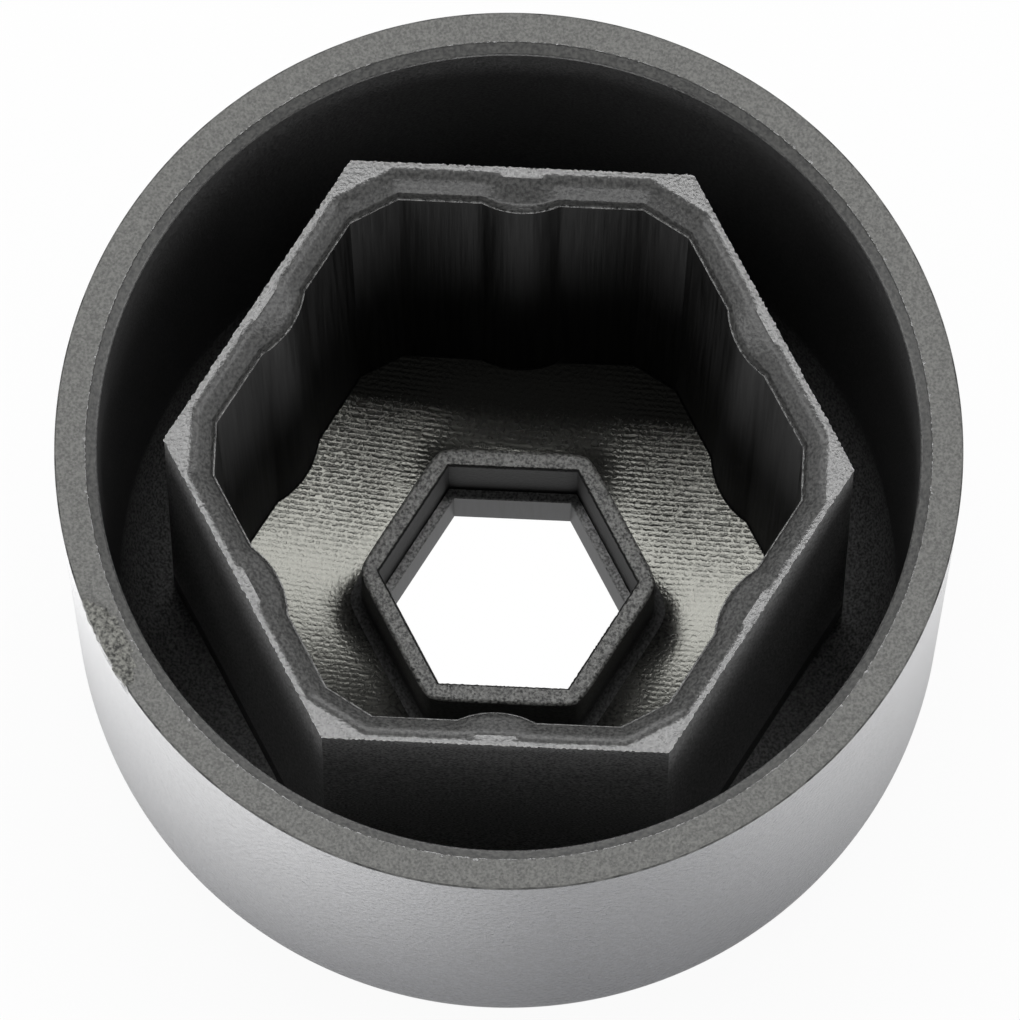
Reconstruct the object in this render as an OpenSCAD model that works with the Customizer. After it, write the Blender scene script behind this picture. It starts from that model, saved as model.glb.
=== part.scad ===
// Wheel bolt cover cap: one moulding in black nylon, drawn standing on its
// closed face with the open end up. The round skirt fills the wheel's bolt
// recess, and the hexagonal tube inside it grips the bolt head.

/* [Skirt] */
// Outer diameter at the rim
cap_d = 29; // [28.4:0.1:32]
// Height from the closed face to the rim
cap_h = 21.8; // [19:0.1:26]
// Thickness of the skirt at the rim
rim_wall = 1.35; // [1:0.05:1.6]
// Radius of the rounded edge of the closed end
edge_r = 4.5; // [2.5:0.1:5]
// Draft of the outer wall in degrees
outer_draft = 0.3; // [0.1:0.1:0.8]
// Draft of the walls that face inwards in degrees
inner_draft = 0.5; // [0.2:0.1:0.6]
// Width of the chamfer inside the rim
chamfer_w = 0.36; // [0.1:0.02:0.6]
// Depth of the chamfer inside the rim
chamfer_h = 0.28; // [0.1:0.02:0.6]
// Thickness of the closed end below the gap
end_wall = 2.2; // [2:0.1:3]
// Radius between the skirt and the bottom of the gap
gap_r = 2.8; // [0.5:0.1:3.2]

/* [Bolt head socket] */
// Size across flats of the bolt head that the socket takes
head_af = 17; // [16:0.1:17.2]
// Clearance of the head between opposite flats
head_play = 0.15; // [0.05:0.05:0.3]
// Size across the flats that cut off the socket's corners
corner_af = 18.8; // [18:0.1:19.2]
// Thickness of the tube's wall at its mouth
tube_wall = 0.98; // [0.9:0.02:1.2]
// How far the mouth of the tube lies below the rim
mouth_drop = 1; // [0.4:0.1:2]
// Radius of the rounded lead-in of the socket
lead_r = 1.05; // [0.9, 0.95, 1.05]
// Angle through which the lead-in turns down in degrees
lead_turn = 50; // [40, 50, 52]
// Depth of the inner edge below the mouth
edge_drop = 0.86; // [0.7:0.02:1.2]
// Width of the parting step at the inner edge
step_w = 0.03; // [0.02:0.01:0.05]

/* [Grip ribs] */
// Width of a rib where it leaves the flat
rib_w = 2.5; // [1.6:0.1:3.5]
// How far a rib stands out of the flat
rib_h = 0.29; // [0.15:0.01:0.4]
// How far the top of a rib lies below the mouth
rib_drop = 0.03; // [0.02:0.01:0.06]

/* [Floor and collar] */
// Thickness of the floor round the collar
floor_low = 1.6; // [1:0.1:1.9]
// Height of the collar's top above the closed face
collar_top = 5.33; // [4.5:0.01:7]
// Size of the collar across flats at its top
collar_af = 8.7; // [8.3:0.1:10]
// Radius of the collar's top edge
collar_edge_r = 0.22; // [0.1:0.02:0.3]
// Radius at the collar's foot
foot_r = 0.5; // [0.2:0.05:0.8]
// How much is rounded off each corner of the collar
collar_round = 0.12; // [0.08:0.02:0.4]
// Size across flats of the pocket in the collar
pocket_af = 7.74; // [7:0.02:7.8]
// Depth of the pocket
pocket_depth = 2.9; // [1:0.1:3.2]
// Size across flats of the tool hole through the closed end
tool_af = 6.8; // [5:0.1:7]

/* [Gate mark] */
// Direction of the torn gate on the rim in degrees
gate_angle = 209; // [0:1:359]
// Length of the torn patch along the rim
gate_len = 3.4; // [1:0.1:5]
// Width of the torn patch
gate_w = 0.95; // [0.4:0.05:1]
// Depth to which the patch is torn out
gate_dip = 0.07; // [0.02:0.01:0.2]

/* [Hidden] */

// Extra length of a cut past the face that it opens
over = 1;
// Facets of the large round forms and of the small ones
round_fn = 96;
small_fn = 40;

rim_r = cap_d / 2;
bore_r = rim_r - rim_wall;
outer_slope = tan(outer_draft);
inner_slope = tan(inner_draft);

// Heights of the tube's mouth and of the inner edge below its lead-in
mouth_z = cap_h - mouth_drop;
edge_z = mouth_z - edge_drop;

// Half sizes across flats at the inner edge, and outside at the mouth
flat_a = (head_af + head_play) / 2;
corner_a = corner_af / 2;
tube_a = flat_a + tube_wall;

// Width and height of the lead-in's arc
lead_w = lead_r * sin(lead_turn);
lead_h = lead_r * (1 - cos(lead_turn));

// Radius of the arc that gives a rib its bulge, and where its axis stands
rib_r = (rib_w * rib_w / 4 + rib_h * rib_h) / (2 * rib_h);
rib_axis = flat_a - rib_h + rib_r;

// Height inside the closed end from which the tube and the collar rise
root_z = floor_low / 2;

// Where the dished floor meets the collar's foot
dish_in = collar_af / 2 + foot_r;

// A form with three pairs of flats. The 2D child is its section across one
// pair, with x across the flats and y up.
module hex_form(turn = 0) {
    intersection_for (side = [0:2])
        rotate([0, 0, turn + 60 * side])
            rotate([90, 0, 90])
                linear_extrude(height = 2 * cap_d, center = true)
                    children();
}

// Section of the cap's outside, with the rounded edge as a true arc
module outer_section() {
    arc_x = rim_r - (cap_h - edge_r) * outer_slope - edge_r / cos(outer_draft);
    polygon([
        [0, 0],
        [arc_x, 0],
        [arc_x, edge_r],
        [arc_x + edge_r * cos(outer_draft), edge_r - edge_r * sin(outer_draft)],
        [rim_r, cap_h],
        [0, cap_h]
    ]);
    intersection() {
        translate([arc_x, edge_r])
            circle(r = edge_r, $fn = round_fn);
        square([rim_r, edge_r]);
    }
}

// Section of the hollow, from the chamfered rim down to the gap's bottom
module hollow_section() {
    arc_z = end_wall + gap_r;
    foot_x = bore_r - (cap_h - arc_z) * inner_slope;
    arc_x = foot_x - gap_r;
    polygon([
        [0, arc_z],
        [foot_x, arc_z],
        [bore_r, cap_h - chamfer_h],
        [bore_r + chamfer_w, cap_h],
        [bore_r + chamfer_w, cap_h + over],
        [0, cap_h + over]
    ]);
    translate([0, end_wall])
        square([arc_x, gap_r]);
    intersection() {
        translate([arc_x, arc_z])
            circle(r = gap_r, $fn = round_fn);
        translate([arc_x, end_wall])
            square([gap_r, gap_r]);
    }
}

// Section of the dish that lowers the socket's floor towards the collar
module dish_section() {
    polygon([
        [0, floor_low],
        [dish_in, floor_low],
        [corner_a, end_wall],
        [corner_a, end_wall + over],
        [0, end_wall + over]
    ]);
}

module skirt() {
    difference() {
        rotate_extrude($fn = round_fn)
            outer_section();
        rotate_extrude($fn = round_fn)
            hollow_section();
        rotate_extrude($fn = round_fn)
            dish_section();
        gate_mark();
    }
}

// Shallow patch at the rim's outer edge where the gate was torn off
module gate_mark() {
    rotate([0, 0, gate_angle])
        translate([rim_r - gate_w, -gate_len / 2, cap_h - gate_dip])
            cube([gate_w + over, gate_len, gate_dip + over]);
}

// Section of the socket between opposite walls that are 2 * half apart at the
// inner edge: drafted walls, the parting step and the rounded lead-in
module socket_section(half) {
    drop = edge_z * inner_slope;
    throat = half + step_w;
    lead_axis = throat + lead_w;
    difference() {
        polygon([
            [-half + drop, 0],
            [half - drop, 0],
            [half, edge_z],
            [throat, edge_z],
            [throat, mouth_z - lead_h],
            [lead_axis, mouth_z - lead_h],
            [lead_axis, mouth_z + over],
            [-lead_axis, mouth_z + over],
            [-lead_axis, mouth_z - lead_h],
            [-throat, mouth_z - lead_h],
            [-throat, edge_z],
            [-half, edge_z]
        ]);
        for (side = [-1, 1])
            translate([side * lead_axis, mouth_z - lead_r])
                circle(r = lead_r, $fn = small_fn);
    }
}

// Section of the outside of the tube, which widens towards the closed end
module tube_section() {
    flare = (mouth_z - root_z) * inner_slope;
    polygon([
        [-tube_a - flare, root_z],
        [tube_a + flare, root_z],
        [tube_a, mouth_z],
        [-tube_a, mouth_z]
    ]);
}

module tube() {
    difference() {
        hex_form()
            tube_section();
        intersection() {
            hex_form()
                socket_section(flat_a);
            hex_form(30)
                socket_section(corner_a);
        }
    }
}

// Half section of the round form that bulges out of a flat: it widens downwards
// with the draft, and its top has the same lead-in as the flat
module rib_section() {
    top_z = mouth_z - rib_drop;
    arc_in = rib_r - lead_w;
    polygon([
        [0, root_z],
        [rib_r + (edge_z - root_z) * inner_slope, root_z],
        [rib_r, edge_z],
        [rib_r, top_z - lead_h],
        [arc_in, top_z - lead_h],
        [arc_in, top_z],
        [0, top_z]
    ]);
    intersection() {
        translate([arc_in, top_z - lead_r])
            circle(r = lead_r, $fn = small_fn);
        translate([arc_in, top_z - lead_h])
            square([lead_r, lead_h]);
    }
}

// A rib is the part of that form that lies inside the tube's wall or in front of it
module rib() {
    crest = flat_a - rib_h;
    intersection() {
        translate([rib_axis, 0, 0])
            rotate_extrude($fn = round_fn)
                rib_section();
        translate([crest - rib_h, -rib_w, root_z])
            cube([tube_a - crest + rib_h / 2, 2 * rib_w, mouth_z - root_z]);
    }
}

module grip_ribs() {
    for (flat = [0:5])
        rotate([0, 0, 30 + 60 * flat])
            rib();
}

// Section of the collar's outside between sides that are 2 * half apart:
// rounded top edge, upright wall and a foot that curves out to the floor
module collar_section(half, foot) {
    shoulder = half - collar_edge_r;
    foot_axis = 0.95 * foot;
    translate([-shoulder, root_z])
        square([2 * shoulder, collar_top - root_z]);
    translate([-half, root_z])
        square([2 * half, collar_top - collar_edge_r - root_z]);
    for (side = [-1, 1])
        translate([side * shoulder, collar_top - collar_edge_r])
            circle(r = collar_edge_r, $fn = small_fn);
    difference() {
        translate([-half - foot_axis, root_z])
            square([2 * (half + foot_axis), floor_low + foot_axis - root_z]);
        for (side = [-1, 1])
            translate([side * (half + foot_axis), floor_low + foot_axis])
                circle(r = foot, $fn = small_fn);
    }
}

// A round form of the same kind takes the sharp corners off the hexagon
module collar() {
    intersection() {
        hex_form()
            collar_section(collar_af / 2, foot_r);
        rotate_extrude($fn = small_fn)
            intersection() {
                collar_section(collar_af / 2 / cos(30) - collar_round, 1.3 * foot_r);
                square([cap_d, cap_h]);
            }
    }
}

// The pocket in the collar, and the smaller tool hole that runs on from it
module tool_hole() {
    ledge_z = collar_top - pocket_depth;
    hex_form()
        polygon([
            [-tool_af / 2, -over],
            [tool_af / 2, -over],
            [tool_af / 2, ledge_z],
            [pocket_af / 2, ledge_z],
            [pocket_af / 2, collar_top + over],
            [-pocket_af / 2, collar_top + over],
            [-pocket_af / 2, ledge_z],
            [-tool_af / 2, ledge_z]
        ]);
}

module cap() {
    color([0.17, 0.17, 0.17])
        difference() {
            union() {
                skirt();
                tube();
                grip_ribs();
                collar();
            }
            tool_hole();
        }
}

cap();
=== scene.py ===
import math

import bmesh
import bpy
import numpy as np
from mathutils import Matrix, Vector, noise


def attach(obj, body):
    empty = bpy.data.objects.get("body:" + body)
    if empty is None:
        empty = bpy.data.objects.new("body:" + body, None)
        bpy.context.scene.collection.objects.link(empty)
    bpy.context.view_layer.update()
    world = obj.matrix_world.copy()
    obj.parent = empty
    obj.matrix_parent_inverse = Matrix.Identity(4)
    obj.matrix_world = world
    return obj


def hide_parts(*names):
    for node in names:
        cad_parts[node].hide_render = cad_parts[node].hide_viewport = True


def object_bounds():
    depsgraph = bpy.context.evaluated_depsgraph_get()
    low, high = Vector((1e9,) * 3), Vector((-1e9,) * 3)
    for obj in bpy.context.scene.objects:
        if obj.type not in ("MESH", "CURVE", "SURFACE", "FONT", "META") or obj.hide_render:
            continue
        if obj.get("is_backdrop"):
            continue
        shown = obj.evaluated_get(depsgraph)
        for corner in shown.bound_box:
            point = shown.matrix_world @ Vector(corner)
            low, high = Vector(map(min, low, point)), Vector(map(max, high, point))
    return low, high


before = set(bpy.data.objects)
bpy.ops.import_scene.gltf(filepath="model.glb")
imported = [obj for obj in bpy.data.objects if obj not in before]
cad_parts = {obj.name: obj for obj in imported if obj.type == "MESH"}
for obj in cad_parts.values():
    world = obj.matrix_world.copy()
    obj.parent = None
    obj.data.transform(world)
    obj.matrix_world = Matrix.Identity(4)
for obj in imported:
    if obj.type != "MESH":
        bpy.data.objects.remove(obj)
cad_low, cad_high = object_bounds()

# Closed face and skirt: the outside of the cap, which is one injection moulding in black
# glass-filled nylon. The face is what shows on the wheel, a large rounding leads into the
# skirt, and the skirt fills the bolt recess. Every size here is in millimetres.
MM = 0.001
RIM_R = min(-cad_low.x, cad_high.x, -cad_low.y, cad_high.y) / MM
CAP_H = cad_high.z / MM
OUTER_SLOPE = math.tan(math.radians(0.3))
CLOSED_EDGE_R = 4.5
TOOL_A = 6.8 / 2
FLAT_A = 17.15 / 2
CORNER_A = 18.8 / 2
RIB_W = 2.5

# Radius of the tiny rounding that moulding leaves on every crisp edge
CRISP_R = 0.05

# Every ring of points round the axis has the same columns. Between the middle of a flat
# of the hexagon, 0, and its corner, 3, the whole numbers mark the side of a grip rib and
# the line where the socket's corner is cut off.
RIB_SIDE, CUT, CORNER = 1, 2, 3
half_columns = np.concatenate([
    np.linspace(0, RIB_SIDE, 13),
    np.linspace(RIB_SIDE, CUT, 15)[1:],
    np.linspace(CUT, CORNER, 8)[1:],
])
columns = np.tile(np.concatenate([-half_columns[:0:-1], half_columns[:-1]]), 6)
flat_turn = np.repeat(np.radians(30 + 60 * np.arange(6)), len(columns) // 6)
SIXTH = math.radians(30)


def turns(flat=FLAT_A, cut=CORNER_A, rib_side=RIB_W / 2):
    """Each column's angle from the middle of its flat, where the walls are at those distances."""
    cut_along = (cut - flat * math.cos(SIXTH)) / math.sin(SIXTH)
    marks = [0, math.atan(rib_side / flat), math.atan(cut_along / flat), SIXTH]
    return np.sign(columns) * np.interp(abs(columns), [0, RIB_SIDE, CUT, CORNER], marks)


def hexagon(apothem, turn=None):
    """Distance from the axis of a hexagon's side, at those angles from its middle."""
    return apothem / np.cos(turns() if turn is None else turn)


rings = []


def ring(finish, radius, height, turn=None):
    """Adds a ring of points. The faces that run on from it to the next ring get that finish."""
    angle = flat_turn + (turns() if turn is None else turn)
    radius = radius + np.zeros(len(angle))
    height = height + np.zeros(len(angle))
    rings.append((finish, np.stack([radius * np.cos(angle), radius * np.sin(angle), height], 1)))


def linear(hex_colour):
    """The linear colour of an sRGB hex value."""
    parts = [int(hex_colour[at : at + 2], 16) / 255 for at in (1, 3, 5)]
    return [p / 12.92 if p <= 0.04045 else ((p + 0.055) / 1.055) ** 2.4 for p in parts] + [1]


def add(tree, kind, inputs=(), **settings):
    """Adds a node with its settings; an input is a value or another node's output."""
    node = tree.nodes.new(kind)
    for name, value in settings.items():
        setattr(node, name, value)
    for name, value in dict(inputs).items():
        if isinstance(value, bpy.types.NodeSocket):
            tree.links.new(value, node.inputs[name])
        else:
            node.inputs[name].default_value = value
    return node


def grey_ramp(tree, share, stops):
    """The grey that a share from 0 to 1 has on a ramp through those places and values."""
    node = add(tree, "ShaderNodeValToRGB", {"Fac": share})
    while len(node.color_ramp.elements) < len(stops):
        node.color_ramp.elements.new(0.5)
    for element, (position, value) in zip(node.color_ramp.elements, stops):
        element.position = position
        element.color = (value, value, value, 1)
    return node.outputs["Color"]


def place_in_scene(name, data):
    """A new object in the scene with that mesh, lamp or camera."""
    placed = bpy.data.objects.new(name, data)
    bpy.context.scene.collection.objects.link(placed)
    return placed


def moulded_nylon(name, dark, pale, roughness, per_mm, relief_mm):
    """A finish of the nylon. Its grain has that many bumps to the millimetre along x, y and z,
    varies the colour between two tones and stands that far out of the surface."""
    material = bpy.data.materials.new(name)
    material.use_nodes = True
    tree = material.node_tree
    shader = tree.nodes["Principled BSDF"]
    shader.inputs["Roughness"].default_value = roughness
    shader.inputs["IOR"].default_value = 1.53
    place = add(tree, "ShaderNodeTexCoord").outputs["Object"]
    scale = [bumps / MM for bumps in per_mm]
    scaled = add(tree, "ShaderNodeMapping", {"Vector": place, "Scale": scale}).outputs["Vector"]
    grain = add(tree, "ShaderNodeTexNoise", {"Vector": scaled, "Scale": 1, "Detail": 3}).outputs["Fac"]
    spread = add(tree, "ShaderNodeMapRange", {"Value": grain, "From Min": 0.35, "From Max": 0.65})
    # A colour mix has its factor on socket 0, its colours on 6 and 7 and its result on 2
    tones = {0: spread.outputs["Result"], 6: linear(dark), 7: linear(pale)}
    tone = add(tree, "ShaderNodeMix", tones, data_type="RGBA")
    relief = add(tree, "ShaderNodeBump", {"Height": grain, "Strength": 1, "Distance": relief_mm * MM})
    tree.links.new(tone.outputs[2], shader.inputs["Base Color"])
    tree.links.new(relief.outputs["Normal"], shader.inputs["Normal"])
    return material


# Satin nylon: the tool's cavity was turned and only lightly polished, so the wall mirrors
# the table softly, with a faint grain. The real grain is about 0.05 mm across. It is drawn
# 0.12 mm wide and 0.3 mm high, because finer grain doesn't show from the front.
satin_nylon = moulded_nylon(
    "satin_turned_nylon", "#3a3b41", "#4e4f57", roughness=0.15, per_mm=(8, 8, 3.2), relief_mm=0.045
)

# The face's rings are hexagons at the hole and turn into circles further out
for out in (0, 0.1, 0.25):
    ring(satin_nylon, hexagon(TOOL_A + CRISP_R + out), 0)
rounding_x = RIM_R - (CAP_H - CLOSED_EDGE_R) * OUTER_SLOPE - CLOSED_EDGE_R
for share in np.linspace(0.25, 1, 5):
    ring(satin_nylon, hexagon(TOOL_A) * (1 - share) + rounding_x * share, 0)
for bend in np.radians(np.linspace(0, 90, 19)[1:]):
    ring(satin_nylon, rounding_x + CLOSED_EDGE_R * math.sin(bend), CLOSED_EDGE_R * (1 - math.cos(bend)))

# The skirt's rings stand closer in the band below the rim, for the torn gate
CLOSE_BAND = 1.2
skirt_heights = np.concatenate([
    np.linspace(CLOSED_EDGE_R, CAP_H - CLOSE_BAND, 7)[1:],
    np.linspace(CAP_H - CLOSE_BAND, CAP_H - CRISP_R, 7)[1:-1],
])
for height in skirt_heights:
    ring(satin_nylon, RIM_R - (CAP_H - height) * OUTER_SLOPE, height)

# Rim: the flat ring at the open end, which sits against the bottom of the bolt recess. It
# has a crisp outer edge, and a short drop and a chamfer on the inside.
RIM_WALL = 1.35
CHAMFER_W = 0.36
CHAMFER_H = 0.28
BORE_R = RIM_R - RIM_WALL

# Spark-eroded nylon: it copies steel pitted by spark erosion, a dull even grey with fine
# grain. The pits are about 0.05 mm across and are drawn at 0.08 mm.
spark_nylon = moulded_nylon(
    "spark_eroded_nylon", "#4a4a48", "#6c6c69", roughness=0.5, per_mm=(12, 12, 12), relief_mm=0.026
)

# Stoned nylon: the edges that were fitted by hand were stoned smooth in the tool, so they
# catch the lamp, a little unevenly. The stoning marks are 0.1 mm apart.
stoned_nylon = moulded_nylon(
    "stoned_nylon", "#363636", "#565655", roughness=0.23, per_mm=(9, 9, 9), relief_mm=0.014
)

# Edge nylon with painted shade: the crest of the outer edge is painted dark in patches about
# 0.4 mm long, as painted shade along the edge.
edge_shade_painted_nylon = moulded_nylon(
    "edge_shade_painted_nylon", "#040404", "#5c5c5a", roughness=0.6, per_mm=(2.5, 2.5, 2.5), relief_mm=0.02
)

# The outer edge's crest is painted dark in patches, as painted shade along it
for bend in np.radians([0, 30, 60]):
    out = RIM_R - CRISP_R * (1 - math.cos(bend))
    ring(edge_shade_painted_nylon, out, CAP_H - CRISP_R * (1 - math.sin(bend)))
rim_in = BORE_R + CHAMFER_W
for radius in np.linspace(RIM_R - CRISP_R, rim_in + 0.02, 7):
    ring(spark_nylon, radius, CAP_H)

# Turned nylon: the chamfer was turned in the core and is a little smoother than the rim. Its
# marks are 0.12 mm apart.
turned_nylon = moulded_nylon(
    "turned_nylon", "#3c3c3c", "#585856", roughness=0.42, per_mm=(8, 8, 8), relief_mm=0.012
)

# The drop and the chamfer, then the stoned edge below it, as steps inwards and down
for inward, drop in ((0, 0.03), (0.02, 0.08), (0.07, 0.12), (CHAMFER_W - 0.09, CHAMFER_H - 0.02)):
    ring(turned_nylon, rim_in - inward, CAP_H - drop)
for inward, drop in ((0.06, 0), (0.03, 0.015), (0.005, 0.05)):
    ring(stoned_nylon, BORE_R + inward, CAP_H - CHAMFER_H - drop)

# Gap: the deep space between the skirt and the tube, with a large radius at the skirt's
# foot. The core that forms it was turned and milled, and nothing ever touches the nylon there.
INNER_SLOPE = math.tan(math.radians(0.5))
END_WALL = 2.2
GAP_R = 2.8
MOUTH_Z = CAP_H - 1
TUBE_A = FLAT_A + 0.98

# Skirt nylon with painted shade: the skirt's inside, a little smoother than the rest and painted
# darkest, as painted shade in the deep gap. Its specks are 0.06 mm across and are drawn at 0.09 mm.
skirt_shade_painted_nylon = moulded_nylon(
    "skirt_shade_painted_nylon", "#1a1a1a", "#4c4c4c", roughness=0.5, per_mm=(11, 11, 11), relief_mm=0.02
)

# Dull nylon: the bottom of the gap, where the milled steel was left as it was, so it is
# matt. Its specks are of the same size.
dull_nylon = moulded_nylon(
    "dull_milled_nylon", "#242424", "#686868", roughness=0.6, per_mm=(11, 11, 11), relief_mm=0.02
)

# Matt nylon with painted light: the tube's outside and the pocket's ledge are painted paler than
# the milled nylon, as painted light on these shaded faces. Its specks are of the same size.
light_painted_nylon = moulded_nylon(
    "matt_light_painted_nylon", "#6a6a6a", "#c4c4c4", roughness=0.6, per_mm=(11, 11, 11), relief_mm=0.02
)

skirt_foot_z = END_WALL + GAP_R
# The skirt's inside is painted darker, as painted shade in the gap
for height in np.linspace(CAP_H - CHAMFER_H - 0.06, skirt_foot_z, 7):
    ring(skirt_shade_painted_nylon, BORE_R - (CAP_H - height) * INNER_SLOPE, height)
skirt_foot = BORE_R - (CAP_H - skirt_foot_z) * INNER_SLOPE
tube_foot = hexagon(TUBE_A + (MOUTH_Z - END_WALL) * INNER_SLOPE)
for bend in np.radians(np.linspace(0, 90, 10)[1:]):
    radius = tube_foot + (skirt_foot - tube_foot) * math.cos(bend)
    into_radius = np.clip(radius - (skirt_foot - GAP_R), 0, GAP_R)
    ring(dull_nylon, radius, skirt_foot_z - np.sqrt(GAP_R**2 - into_radius**2))
# The tube's outside is painted paler, as painted light deep in the gap
for height in np.linspace(END_WALL + 1.5, MOUTH_Z - CRISP_R, 6):
    ring(light_painted_nylon, hexagon(TUBE_A + (MOUTH_Z - height) * INNER_SLOPE), height)

# Mouth of the tube: a narrow flat land, then the lead-in that guides the bolt head. It
# turns down, runs on as a chamfer and ends above the step where the core met the cavity.
# The grip ribs bulge through it, and a small flat pad lies above each of them.
EDGE_Z = MOUTH_Z - 0.86
STEP_W = 0.055
RIB_H = 0.29
RIB_R = (RIB_W**2 / 4 + RIB_H**2) / (2 * RIB_H)
RIB_AXIS = FLAT_A - RIB_H + RIB_R
PAD_HALF = 0.69
PAD_W = 0.24
PAD_DROP = 0.008


def socket_wall(flat, cut, rib_radius):
    """Angles and distances of the columns on a hexagon with cut corners and bulging ribs."""
    rib_side = math.sqrt(max(rib_radius**2 - (RIB_AXIS - flat) ** 2, 0.01))
    turn = turns(flat, cut, rib_side)
    plain = np.minimum(flat / np.cos(turn), cut / np.cos(SIXTH - abs(turn)))
    reach = np.maximum(rib_radius**2 - (RIB_AXIS * np.sin(turn)) ** 2, 0)
    bulge = RIB_AXIS * np.cos(turn) - np.sqrt(reach)
    return turn, np.where(abs(columns) <= RIB_SIDE, np.minimum(plain, bulge), plain)


for bend in np.radians([30, 60, 90]):
    side = TUBE_A - CRISP_R * (1 - math.cos(bend))
    ring(stoned_nylon, hexagon(side), MOUTH_Z - CRISP_R * (1 - math.sin(bend)))
ring(stoned_nylon, hexagon(TUBE_A - CRISP_R - 0.01), MOUTH_Z)

# The lead-in as steps of width and slope, from the land to the parting step
profile = [(0, 0)]
steps = ((0.05, (4, 10, 14, 18, 22, 26, 31)), (0.095, (44, 44, 44, 44)), (0.017, (50, 60, 67, 71, 73, 74)))
for width, slopes in steps:
    for slope in slopes:
        across, drop = profile[-1]
        profile.append((across + width, drop + width * math.tan(math.radians(slope))))
lead_w, lead_h = profile[-1]
turn, crest = socket_wall(FLAT_A, CORNER_A, RIB_R)
bulge = np.where(abs(columns) <= RIB_SIDE, hexagon(FLAT_A, turn) - crest, 0)

# How much of the pad each column has: its two ends fade out over that length
PAD_FADE = 0.1
along = abs((FLAT_A + lead_w) * np.tan(turns(FLAT_A + lead_w, CORNER_A + lead_w)))
pad = np.clip((PAD_HALF + PAD_FADE / 2 - along) / PAD_FADE, 0, 1)

# The lead-in's rings follow one that keeps the land flat up to 0.02 mm outside it
for across, drop in [(-0.02, 0)] + profile:
    out = STEP_W + lead_w - across
    turn = turns(FLAT_A + out, CORNER_A + out)
    plain = np.minimum((FLAT_A + out) / np.cos(turn), (CORNER_A + out) / np.cos(SIXTH - abs(turn)))
    on_pad = pad if across < PAD_W else 0
    level = drop - on_pad * max(drop - PAD_DROP, 0)
    ring(stoned_nylon, plain - bulge * drop / lead_h, MOUTH_Z - level, turn)

# Parted nylon: the step where core and cavity met has worn ragged, so that the light on it
# breaks up into specks 0.12 mm across.
parted_nylon = moulded_nylon(
    "parted_nylon", "#242424", "#7c7c7b", roughness=0.26, per_mm=(8, 8, 8), relief_mm=0.05
)

# The step's wall and its ledge, as heights above the inner edge and distances out from it.
# Wear has moved the wall in and out by up to that much.
WEAR = 0.05
worn = np.array([noise.noise(Vector((at * 0.7, 5, 0))) for at in range(len(columns))])
for height, out in ((0.05, STEP_W), (0.012, STEP_W), (0, STEP_W - 0.008), (0, 0.008), (-0.008, 0)):
    turn, wall = socket_wall(FLAT_A + out, CORNER_A + out, RIB_R - out)
    ring(parted_nylon, wall - (WEAR * worn if out > 0.01 else 0), EDGE_Z + height, turn)

# Inside of the socket: six flats that take the bolt head, with a grip rib down the middle
# of each. The core was drawn out along them and left its marks.
FLOOR_LOW = 1.6
COLLAR_A = 8.7 / 2
FOOT_R = 0.6
DISH_IN = COLLAR_A + FOOT_R
DISH_SLOPE = (END_WALL - FLOOR_LOW) / (CORNER_A - DISH_IN)

# Drawn nylon: dull and dark, with fine upright lines about 0.12 mm apart.
drawn_nylon = moulded_nylon(
    "drawn_nylon", "#020202", "#2e2e2e", roughness=0.46, per_mm=(8, 8, 0.15), relief_mm=0.014
)

for height in (EDGE_Z - 0.02, EDGE_Z - 0.3, 18, 16, 14, 12, 10, 8, 6, 4.5, 3.3, 2.6):
    drift = (EDGE_Z - height) * INNER_SLOPE
    turn, wall = socket_wall(FLAT_A - drift, CORNER_A - drift, RIB_R + drift)
    ring(drawn_nylon, wall, height, turn)

# The last ring follows the dished floor, just above it
WALL_FOOT_Z = 2.1
drift = (EDGE_Z - WALL_FOOT_Z) * INNER_SLOPE
floor_turn, wall_foot = socket_wall(FLAT_A - drift, CORNER_A - drift, RIB_R + drift)
ring(drawn_nylon, wall_foot, FLOOR_LOW + (wall_foot - DISH_IN) * DISH_SLOPE + 0.08, floor_turn)

# Floor of the socket: the inside of the closed face, dished towards the collar. It is
# smooth, with the rows that a small cutter made in the end of the core.
#
# Cut nylon: glossy, with rows 0.18 mm apart broken into dashes 0.12 mm long. The rows are
# deepest at the back near both sides, and the shine has a slightly warm tint.
cut_nylon = moulded_nylon(
    "cutter_marked_nylon", "#161616", "#30302e", roughness=0.15, per_mm=(8, 8, 8), relief_mm=0.004
)
cut_nylon.node_tree.nodes["Principled BSDF"].inputs["Specular Tint"].default_value = linear("#fffff5")
tree = cut_nylon.node_tree
place = tree.nodes["Texture Coordinate"].outputs["Object"]
grain = tree.nodes["Noise Texture"].outputs["Fac"]

# The rows run 4 degrees off the flats. A wave texture of scale 1 repeats every tau / 20.
row_place = {"Vector": place, "Scale": (1 / MM, 1 / MM, 1 / MM), "Rotation": (0, 0, math.radians(4))}
in_mm = add(tree, "ShaderNodeMapping", row_place).outputs["Vector"]
ROW_STEP = 0.18
row_scale = math.tau / 20 / ROW_STEP
wavy = {"Vector": in_mm, "Scale": row_scale, "Distortion": 1.6, "Detail": 2, "Detail Scale": 4}
rows = add(tree, "ShaderNodeTexWave", wavy, bands_direction="Y").outputs["Fac"]
broken = {"Value": grain, "From Min": 0.38, "From Max": 0.6}
dashes = add(tree, "ShaderNodeMapRange", broken).outputs["Result"]
marks = add(tree, "ShaderNodeMath", {0: rows, 1: dashes}, operation="MULTIPLY").outputs[0]

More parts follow.
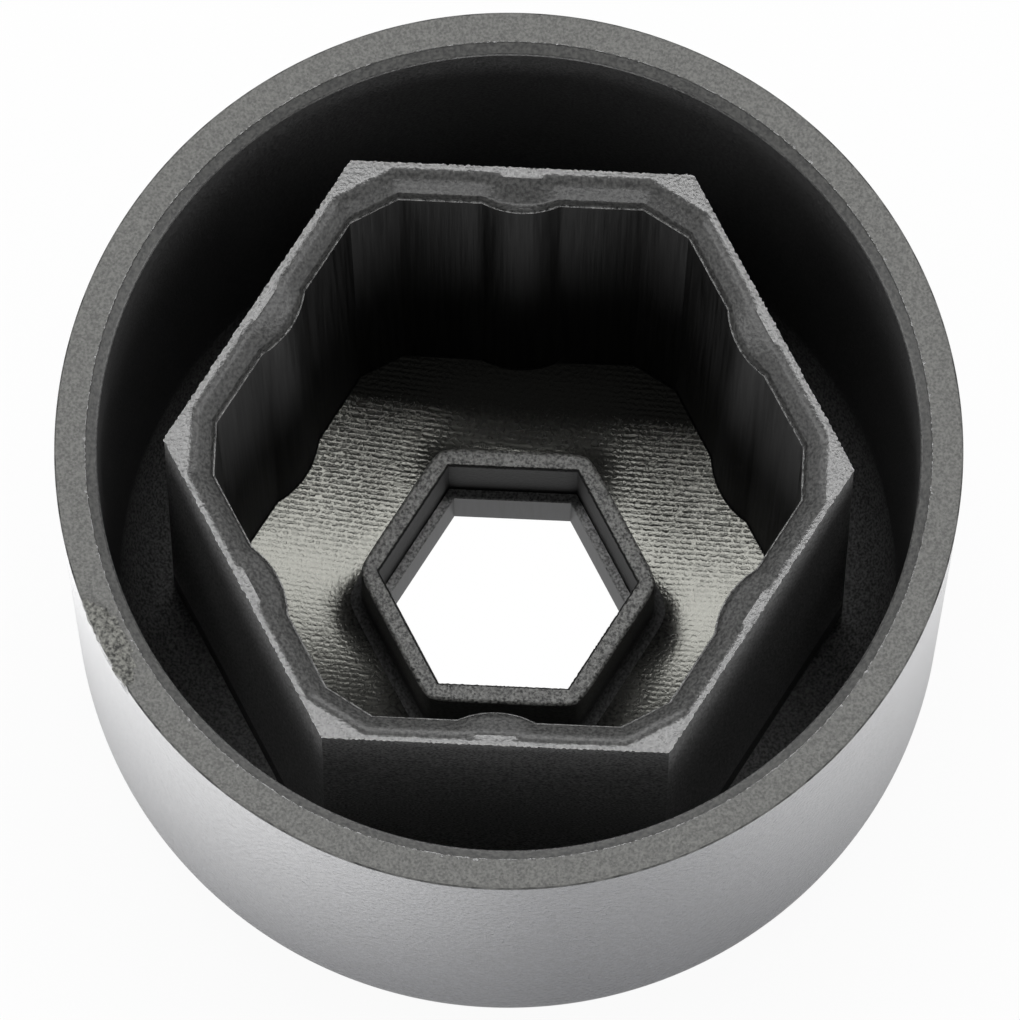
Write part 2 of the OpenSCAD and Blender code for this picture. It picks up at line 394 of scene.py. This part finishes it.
# The marks grow towards both sides and towards the back
xyz = add(tree, "ShaderNodeSeparateXYZ", {"Vector": in_mm})
sideways = add(tree, "ShaderNodeMath", {0: xyz.outputs["X"]}, operation="ABSOLUTE").outputs[0]
to_side = {"Value": sideways, "From Min": 2.5, "From Max": 5, "To Min": 0.15, "To Max": 1}
to_side = add(tree, "ShaderNodeMapRange", to_side).outputs["Result"]
to_back = {"Value": xyz.outputs["Y"], "From Min": 0.5, "From Max": 3.5, "To Min": 0.2, "To Max": 1}
to_back = add(tree, "ShaderNodeMapRange", to_back).outputs["Result"]
strength = add(tree, "ShaderNodeMath", {0: to_side, 1: to_back}, operation="MULTIPLY").outputs[0]
cut_marks = add(tree, "ShaderNodeMath", {0: marks, 1: strength}, operation="MULTIPLY").outputs[0]

# The relief is a third of the grain with the marks on top
uneven = {0: grain, 1: 0.35, 2: cut_marks}
uneven = add(tree, "ShaderNodeMath", uneven, operation="MULTIPLY_ADD").outputs[0]
tree.links.new(uneven, tree.nodes["Bump"].inputs["Height"])
tree.nodes["Bump"].inputs["Distance"].default_value = 0.006 * MM

# How much a circle takes off the collar's corners, and the length over which it blends in
COLLAR_ROUND = 0.1
BLEND = 0.09


def collar_form(apothem, turn=None):
    """Distance from the axis of a hexagon whose corners a circle rounds off, in a soft blend."""
    circle = COLLAR_A / math.cos(SIXTH) - COLLAR_ROUND + apothem - COLLAR_A
    return -BLEND * np.logaddexp(-hexagon(apothem, turn) / BLEND, -circle / BLEND) + BLEND * 0.05


# The floor ends where the collar's foot, an arc round an axis outside the collar, meets it
FOOT_AXIS = 0.95 * FOOT_R
FOOT_BEND = 71.8
floor_out = wall_foot - 0.06
floor_in = collar_form(COLLAR_A + FOOT_AXIS - FOOT_R * math.cos(math.radians(FOOT_BEND)), floor_turn)
for inward in np.linspace(0, 1, 8)[:-1]:
    radius = floor_out + (floor_in - floor_out) * inward
    ring(cut_nylon, radius, FLOOR_LOW + np.maximum(radius - DISH_IN, 0) * DISH_SLOPE, floor_turn)

# Collar: the raised rim round the tool hole, which keeps the tool on the axis. Its foot
# curves out of the floor, and its top is a narrow band with small rounded edges.
COLLAR_TOP = 5.33
COLLAR_EDGE_R = 0.13
POCKET_A = 7.74 / 2
LIP_W = 0.08
LIP_A = POCKET_A - LIP_W

# Sparkling nylon: coarser spark erosion than on the rim, so single facets of the nylon
# light up. The pits are 0.1 mm across.
sparkling_nylon = moulded_nylon(
    "sparkling_nylon", "#242423", "#8e8e8b", roughness=0.4, per_mm=(11, 11, 11), relief_mm=0.04
)

# Matt nylon: the collar's side was sunk into the core with a worn electrode, so it is dull.
# The pits are 0.1 mm across.
matt_nylon = moulded_nylon(
    "matt_nylon", "#202020", "#545454", roughness=0.65, per_mm=(10, 10, 10), relief_mm=0.012
)

for bend in np.radians([FOOT_BEND, 60, 49, 38, 27, 18.2]):
    side = COLLAR_A + FOOT_AXIS - FOOT_R * math.cos(bend)
    ring(matt_nylon, collar_form(side), FLOOR_LOW + FOOT_AXIS - FOOT_R * math.sin(bend))
for height in np.linspace(FLOOR_LOW + 0.5, COLLAR_TOP - COLLAR_EDGE_R - 0.03, 4):
    ring(matt_nylon, collar_form(COLLAR_A), height)
for bend in np.radians([0, 22, 45, 68, 90]):
    side = COLLAR_A - COLLAR_EDGE_R * (1 - math.cos(bend))
    ring(sparkling_nylon, collar_form(side), COLLAR_TOP - COLLAR_EDGE_R * (1 - math.sin(bend)))
ring(sparkling_nylon, collar_form(COLLAR_A - COLLAR_EDGE_R - 0.03), COLLAR_TOP)
ring(sparkling_nylon, hexagon(POCKET_A + 0.1), COLLAR_TOP)
ring(sparkling_nylon, hexagon(LIP_A + 0.02), COLLAR_TOP)

# Pocket and tool hole: a hexagonal pocket under a ragged lip in the collar, a ledge, and the
# narrower hole that runs on through the closed face. The tool that pulls the cap off goes in
# here.
LEDGE_Z = COLLAR_TOP - 2.9

# Lip nylon with painted shade: the lip's edge is painted near black, as painted shade along the
# lip. Its lumps are 0.12 mm across.
lip_shade_painted_nylon = moulded_nylon(
    "lip_shade_painted_nylon", "#020202", "#101010", roughness=0.7, per_mm=(8, 8, 8), relief_mm=0.02
)

# Eroded nylon: walls sunk into the core by a shaped electrode, dull and a little mottled.
# The mottling is about 0.15 mm across.
eroded_nylon = moulded_nylon(
    "electrode_eroded_nylon", "#0a0a0a", "#1c1c1c", roughness=0.55, per_mm=(7, 7, 5), relief_mm=0.02
)

# Pinned nylon: the hole is formed by a ground pin, so its short wall is smoother and
# mirrors the light from below. The grinding marks are 0.17 mm apart.
pinned_nylon = moulded_nylon(
    "ground_pin_nylon", "#2a2b2e", "#393a3f", roughness=0.36, per_mm=(6, 6, 0.5), relief_mm=0.004
)

# The lip's edge is painted near black, as painted shade along it
for inward, drop in ((0, 0.02), (0.01, 0.06), (0.05, 0.08), (0.06, 0.12)):
    ring(lip_shade_painted_nylon, hexagon(LIP_A - inward + 0.03 * worn), COLLAR_TOP - drop)
for height in np.linspace(COLLAR_TOP - 0.17, LEDGE_Z + 0.03, 5):
    ring(eroded_nylon, hexagon(LIP_A - 0.05), height)
# The pocket's ledge is painted paler, as painted light on it
ring(light_painted_nylon, hexagon(LIP_A - 0.08), LEDGE_Z)
ring(light_painted_nylon, hexagon(TOOL_A + CRISP_R), LEDGE_Z)
for height in np.linspace(LEDGE_Z - CRISP_R, CRISP_R, 6):
    ring(pinned_nylon, hexagon(TOOL_A), height)

# Torn gate: the nylon flowed in at the rim's outer edge, and breaking off the sprue left
# a shallow rough patch there, with a small nib standing at its end.
GATE_FROM = math.radians(203)
GATE_TO = math.radians(216)
GATE_W = 0.8
GATE_H = 0.7
GATE_FADE = 0.12
NIB_TURN = math.radians(213.3)
NIB_SPREAD = 0.014
NIB_H = 0.3
NIB_OUT = 0.09

# Torn nylon: broken glass-filled nylon, dull, with lumps about 0.12 mm across.
torn_nylon = moulded_nylon(
    "torn_nylon", "#343432", "#8c8c86", roughness=0.5, per_mm=(9, 9, 9), relief_mm=0.11
)

points = np.concatenate([ring_points for finish, ring_points in rings])
angle = np.arctan2(points[:, 1], points[:, 0]) % math.tau
radius = np.hypot(points[:, 0], points[:, 1])

# How much of the patch each point has: it is rounded inwards and fades out there
middle = (angle - (GATE_FROM + GATE_TO) / 2) / ((GATE_TO - GATE_FROM) / 2)
patch_in = RIM_R - GATE_W * np.sqrt(np.clip(1 - middle**2, 0, 1))
patch = np.clip((radius - patch_in) / GATE_FADE, 0, 1) * (abs(middle) < 1)
patch *= points[:, 2] > CAP_H - GATE_H

# The rim sinks there by 0.07 mm, with lumps 0.25 mm across
lumps = np.array([noise.noise(Vector(spot) * 4) for spot in points])
points[:, 2] -= patch * (points[:, 2] > CAP_H - 0.1) * (0.07 + 0.12 * lumps)

# The outer side sinks in by 0.03 mm with the same lumps, and the nib stands out of it
below_rim = points[:, 2] - CAP_H + 0.1
nib = np.exp(-(((angle - NIB_TURN) / NIB_SPREAD) ** 2)) * np.exp(-((below_rim / NIB_H) ** 2))
outward = np.where(radius > RIM_R - 0.6, NIB_OUT * nib - patch * (0.03 + 0.08 * lumps), 0)
points[:, :2] *= (1 + outward / radius)[:, None]

# The moulding's rings joined into one closed mesh
count = len(columns)
materials = []
faces = []
face_finish = []
for index, (finish, ring_points) in enumerate(rings):
    here = index * count
    there = (index + 1) % len(rings) * count
    for at in range(count):
        after = (at + 1) % count
        faces.append((here + at, here + after, there + after, there + at))
        torn = min(patch[here + at], patch[here + after]) > 0.4
        material = torn_nylon if torn else finish
        if material not in materials:
            materials.append(material)
        face_finish.append(materials.index(material))
mesh = bpy.data.meshes.new("cap_moulding")
mesh.from_pydata((points * MM).tolist(), [], faces)
for material in materials:
    mesh.materials.append(material)
mesh.polygons.foreach_set("material_index", face_finish)
mesh.polygons.foreach_set("use_smooth", [True] * len(faces))
mesh.update()
mesh.set_sharp_from_angle(angle=math.radians(26))
cap = place_in_scene("cap_moulding", mesh)
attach(cap, "root")
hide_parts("cap")


# Flash: where the halves of the tool met, a thin ragged fin of nylon was pressed out, on
# the outer edge of the tube's mouth and on the inner edge of the rim. It is part of the
# moulding and shines as the stoned edges do.
def fin(name, edge, side, top, reach):
    """A ragged fin along an edge at those distances from the axis, outwards where side is 1."""
    turn = np.arange(len(edge)) / len(edge) * math.tau
    spots = np.stack([edge * np.cos(turn), edge * np.sin(turn), np.zeros(len(edge))], 1)

    # Teeth of 0.1 and 0.05 mm at its tip, and slower waves in its height
    ragged = np.array([noise.noise(Vector(spot) * 9) for spot in spots])
    ragged += 0.6 * np.array([noise.noise(Vector(spot) * 21) for spot in spots])
    waves = np.array([noise.noise(Vector(spot) * 5 + Vector((0, 0, 9))) for spot in spots])
    tip = np.clip(reach * (0.5 + ragged), -0.01, 1.5 * reach)
    height = top + 0.008 * waves

    # Its section is a triangle: root, tip, and a foot sunk into the moulding
    corners = ((edge - side * 0.07, height), (edge + side * tip, height), (edge - side * 0.01, top - 0.09))
    fin_points = np.stack([
        np.stack([far * np.cos(turn), far * np.sin(turn), high + np.zeros(len(edge))], 1)
        for far, high in corners
    ], 1)
    fin_faces = []
    for at in range(len(edge)):
        here, there = 3 * at, 3 * ((at + 1) % len(edge))
        for corner in range(3):
            after = (corner + 1) % 3
            fin_faces.append((here + corner, there + corner, there + after, here + after))
    fin_mesh = bpy.data.meshes.new(name)
    fin_mesh.from_pydata((fin_points.reshape(-1, 3) * MM).tolist(), [], fin_faces)
    shell = bmesh.new()
    shell.from_mesh(fin_mesh)
    bmesh.ops.recalc_face_normals(shell, faces=shell.faces)
    shell.to_mesh(fin_mesh)
    shell.free()
    fin_mesh.materials.append(stoned_nylon)
    flash = place_in_scene(name, fin_mesh)
    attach(flash, "root")


around = np.arange(1320) / 1320 * math.tau
mouth_edge = hexagon(TUBE_A, around % (2 * SIXTH) - SIXTH)
fin("mouth_flash", mouth_edge, side=1, top=MOUTH_Z + 0.002, reach=0.05)
fin("rim_flash", np.full(1400, rim_in + 0.02), side=-1, top=CAP_H - 0.004, reach=0.035)

# Table: a plain white sheet. The camera sees it near white with the cap's soft shadow.
# Mirrored in the cap it is white card with a painted glow: painted light, brighter on the
# left, and painted shade close round the cap's foot. It has no underside and is open under the
# closed face, so that this face can be looked at from below and light comes up the hole. It
# lies 0.03 mm below that face, so that the two never share a plane.
bpy.ops.mesh.primitive_plane_add(size=3, location=(0, 0, -0.03 * MM))
table = bpy.context.object
table.name = "white_table"

# White card: smooth and matt, with no pattern that shows.
card = bpy.data.materials.new("white_card")
card.use_nodes = True
tree = card.node_tree
tree.nodes.remove(tree.nodes["Principled BSDF"])
path = add(tree, "ShaderNodeLightPath")
place = add(tree, "ShaderNodeTexCoord").outputs["Object"]
distance = add(tree, "ShaderNodeVectorMath", {0: place}, operation="LENGTH").outputs["Value"]
matt = add(tree, "ShaderNodeBsdfDiffuse", {"Color": linear("#e6e6e6")})

# What the camera sees: almost white by itself, with a share left for the shadow
shaded = add(tree, "ShaderNodeBsdfDiffuse", {"Color": linear("#3f3f3f")})
glow = add(tree, "ShaderNodeEmission", {"Color": linear("#ffffff"), "Strength": 0.94})
bright = add(tree, "ShaderNodeAddShader", {0: shaded.outputs[0], 1: glow.outputs[0]})

# What the cap mirrors: painted light, as if from a lamp, from left to right, over 16 mm to
# either side, and painted shade round the cap's foot
left_right = add(tree, "ShaderNodeSeparateXYZ", {"Vector": place}).outputs["X"]
from_left = {"Value": left_right, "From Min": -16 * MM, "From Max": 16 * MM}
from_left = add(tree, "ShaderNodeMapRange", from_left).outputs["Result"]
lamp_light = grey_ramp(tree, from_left, ((0.06, 1), (0.6, 0.26), (0.8, 0.26), (1, 0.5)))
foot_shade = {"Value": distance, "From Min": RIM_R * MM, "From Max": 1.41 * RIM_R * MM, "To Min": 0.15}
foot_shade = add(tree, "ShaderNodeMapRange", foot_shade).outputs["Result"]
both = {0: lamp_light, 1: foot_shade}
both = add(tree, "ShaderNodeMath", both, operation="MULTIPLY").outputs[0]
lamp_spill = add(tree, "ShaderNodeMath", {0: both, 1: 1.5}, operation="MULTIPLY").outputs[0]
mirrored = add(tree, "ShaderNodeBsdfDiffuse", {"Color": linear("#f2f2f2")})
sheen = add(tree, "ShaderNodeEmission", {"Color": linear("#ffffff"), "Strength": lamp_spill})
gleam = add(tree, "ShaderNodeAddShader", {0: mirrored.outputs[0], 1: sheen.outputs[0]})
in_cap = {0: path.outputs["Is Glossy Ray"], 1: matt.outputs[0], 2: gleam.outputs[0]}
in_cap = add(tree, "ShaderNodeMixShader", in_cap)
seen = {0: path.outputs["Is Camera Ray"], 1: in_cap.outputs[0], 2: bright.outputs[0]}
seen = add(tree, "ShaderNodeMixShader", seen)

# Where it is open: from below, and under the closed face
below = add(tree, "ShaderNodeNewGeometry").outputs["Backfacing"]
under_face = {0: distance, 1: rounding_x * MM}
under_face = add(tree, "ShaderNodeMath", under_face, operation="LESS_THAN").outputs[0]
opening = add(tree, "ShaderNodeMath", {0: below, 1: under_face}, operation="MAXIMUM").outputs[0]
clear = add(tree, "ShaderNodeBsdfTransparent")
one_sided = add(tree, "ShaderNodeMixShader", {0: opening, 1: seen.outputs[0], 2: clear.outputs[0]})
tree.links.new(one_sided.outputs[0], tree.nodes["Material Output"].inputs["Surface"])
table.data.materials.append(card)
table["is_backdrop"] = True

# Studio: a white room that is brightest just above the table, one softbox high behind the
# cap, whose reflection lights the rim and the floor's two sides, and weaker ones all round.
# Below the table, which only the hole lets in, it is grey.
world = bpy.data.worlds.new("studio")
bpy.context.scene.world = world
world.use_nodes = True
tree = world.node_tree
path = add(tree, "ShaderNodeLightPath")
direction = add(tree, "ShaderNodeTexCoord").outputs["Generated"]
upward = add(tree, "ShaderNodeSeparateXYZ", {"Vector": direction}).outputs["Z"]
room = grey_ramp(tree, upward, ((0, 0.52), (0.01, 1), (0.1, 1), (0.38, 0.1)))
walls = {0: path.outputs["Is Camera Ray"], 6: room, 7: (1, 1, 1, 1)}
walls = add(tree, "ShaderNodeMix", walls, data_type="RGBA")
tree.links.new(walls.outputs[2], tree.nodes["Background"].inputs["Color"])
tree.nodes["Background"].inputs["Strength"].default_value = 1

# Each softbox's direction from the cap, roll in degrees, radiance, and width and height in
# metres
LAMP_DISTANCE = 0.5
for name, way, roll, radiance, wide, high in (
    ("softbox_behind", (-0.03, 0.218, 0.976), -13, 12, 0.34, 0.1),
    ("softbox_front", (0, -0.97, 0.25), 0, 1.8, 0.6, 0.2),
    ("softbox_far", (0, 0.83, 0.55), 0, 2.4, 0.6, 0.16),
    ("softbox_left", (-0.75, 0, 0.66), 0, 2, 0.3, 0.3),
    ("softbox_right", (0.75, 0, 0.66), 0, 2, 0.3, 0.3),
):
    way = Vector(way).normalized()
    softbox = bpy.data.lights.new(name, "AREA")
    softbox.shape = "RECTANGLE"
    softbox.size = wide
    softbox.size_y = high
    softbox.energy = radiance * math.pi * wide * high
    lamp = place_in_scene(name, softbox)
    lamp.location = way * LAMP_DISTANCE
    turned = way.to_track_quat("Z", "Y").to_matrix() @ Matrix.Rotation(math.radians(roll), 3, "Z")
    lamp.rotation_euler = turned.to_euler()

# Camera: a long lens from above and slightly in front, as the photograph was taken. Its
# place and direction were fitted to the rim's ellipse and the corners of the hexagons.
camera = bpy.data.cameras.new("camera")
camera.lens = 392.4
camera.sensor_width = 36
camera.clip_start = 0.01
camera.clip_end = 10
eye = place_in_scene("camera", camera)
backward = Vector((0.0100, -0.2576, 0.9662)).normalized()
rightward = Vector((-0.0435, 0.9652, 0.2578)).cross(backward).normalized()
turned = Matrix((rightward, backward.cross(rightward), backward)).transposed().to_4x4()
eye.matrix_world = Matrix.Translation(Vector((3.67, -93.25, 363.7)) * MM) @ turned
bpy.context.scene.camera = eye
bpy.context.scene.view_settings.view_transform = "Standard"

low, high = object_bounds()
